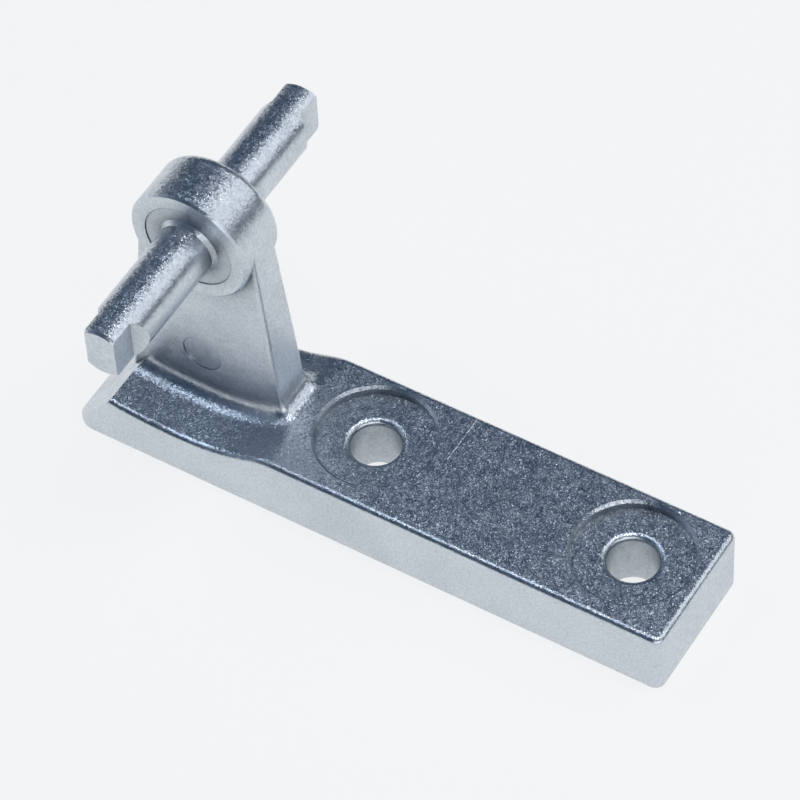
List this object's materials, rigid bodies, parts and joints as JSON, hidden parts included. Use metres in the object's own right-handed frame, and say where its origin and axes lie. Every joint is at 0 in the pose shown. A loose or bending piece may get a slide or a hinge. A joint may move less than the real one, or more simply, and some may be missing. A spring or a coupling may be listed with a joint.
{
  "type": "fridge middle hinge",
  "caption": "Cast middle hinge bracket: a screw-down bar with counterbored holes, an upright arm, and a fixed cross pin whose ends carry the upper and the lower door.",
  "frame": {"origin": "midway between the two screw holes, on the flat underside that is screwed to the cabinet", "axes": "+X along the bar, from the arm towards the free end; +Y along the pin; +Z out of the screwed face, towards the pin"},
  "size_m": [0.084, 0.045, 0.0436],
  "materials": {
    "zinc_casting": "as cast, fine sparkling grain"
  },
  "bodies": {
    "root": {"hinge_bracket": "zinc_casting"}
  },
  "joints": []
}
